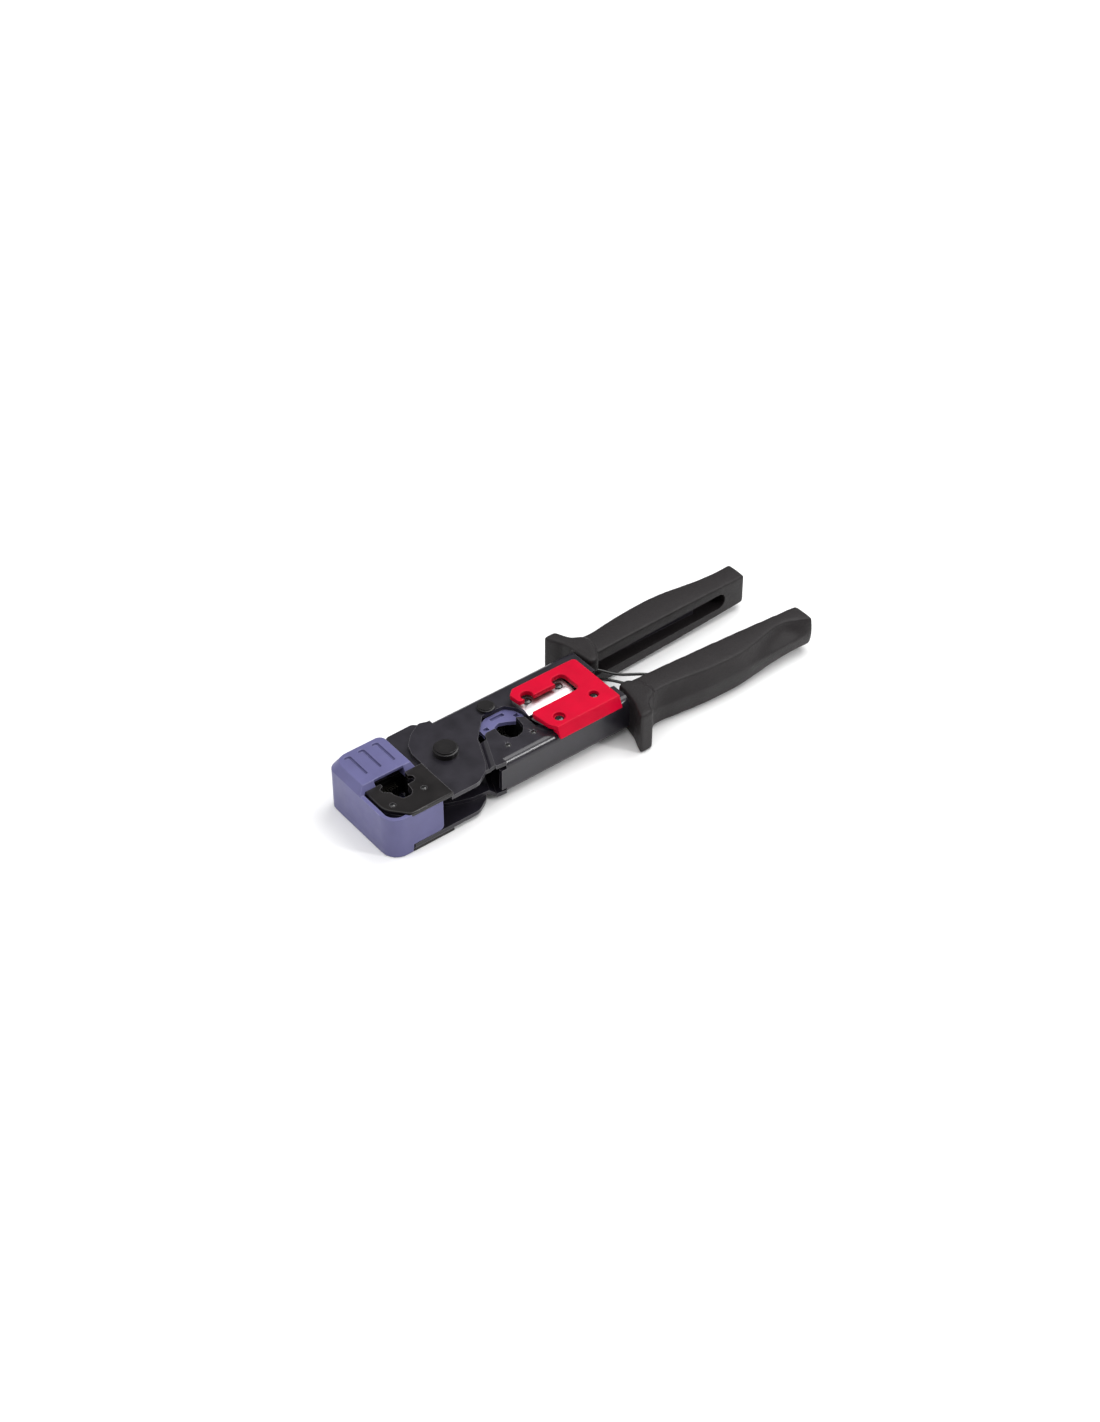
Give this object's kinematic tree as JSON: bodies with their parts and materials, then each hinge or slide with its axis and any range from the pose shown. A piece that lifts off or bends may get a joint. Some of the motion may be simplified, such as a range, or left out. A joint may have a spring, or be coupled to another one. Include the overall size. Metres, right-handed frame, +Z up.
{
  "type": "modular plug crimping tool",
  "caption": "Hand crimper for modular plugs: two steel channel levers on one pivot, two plug nests with coupled punches, a guarded wire cutter and stripper, and moulded handles.",
  "frame": {"origin": "middle of the bounding box's bottom face, with the tool lying flat and its handles sprung open", "axes": "+X from the crimping head towards the handle ends, +Y towards the fixed far handle, +Z up"},
  "size_m": [0.2096, 0.0624, 0.0225],
  "materials": {
    "black_steel": "black oxide, satin",
    "rivet_steel": "black oxide",
    "bare_steel": "ground",
    "spring_wire": "blackened wire",
    "black_nylon": "moulded",
    "blue_plastic": "moulded, satin",
    "red_plastic": "moulded, satin",
    "grip_plastic": "fine moulded texture"
  },
  "bodies": {
    "lever_a": {"frame_channel": "black_steel", "head_plate_top": "black_steel", "head_plate_bottom": "black_steel", "nest_rivets": "rivet_steel", "plug_nest": "black_nylon", "pivot_rivet": "rivet_steel", "pivot_bush": "bare_steel", "punch_rivet": "rivet_steel", "head_cover": "blue_plastic", "cutter_blade": "bare_steel", "blade_screws": "rivet_steel", "far_handle": "grip_plastic", "spring_pin": "rivet_steel", "return_spring": "spring_wire"},
    "lever_b": {"lever_channel": "black_steel", "jaw_spacer": "rivet_steel", "drive_pin": "rivet_steel", "small_plug_nest": "black_nylon", "plug_guide": "blue_plastic", "small_nest_pins": "rivet_steel", "stripper_blade": "bare_steel", "blade_guard": "red_plastic", "guard_screws": "rivet_steel", "near_handle": "grip_plastic"},
    "eight_punch": {"plug_punch": "black_nylon", "plug_teeth": "bare_steel"},
    "six_punch": {"small_punch": "black_nylon", "small_teeth": "bare_steel"}
  },
  "joints": [
    {"name": "main_pivot", "type": "hinge", "parent": "lever_a", "child": "lever_b", "pos_m": [-0.0636, 0.00065, 0.01], "axis": [0, 0, 1], "range_deg": [0, 8.5], "stiffness_Nm_per_rad": 1.2, "springref_deg": -8.59, "deforming": ["return_spring"]},
    {"name": "eight_punch_slide", "type": "slide", "parent": "lever_a", "child": "eight_punch", "axis": [0, -1, 0], "range_m": [0, 0.0039]},
    {"name": "six_punch_slide", "type": "slide", "parent": "lever_b", "child": "six_punch", "axis": [0, -1, 0], "range_m": [0, 0.00425]}
  ],
  "couplings": [
    {"joint": "eight_punch_slide", "follows": "main_pivot", "m_per_rad": 0.02616},
    {"joint": "six_punch_slide", "follows": "main_pivot", "m_per_rad": 0.0285}
  ]
}
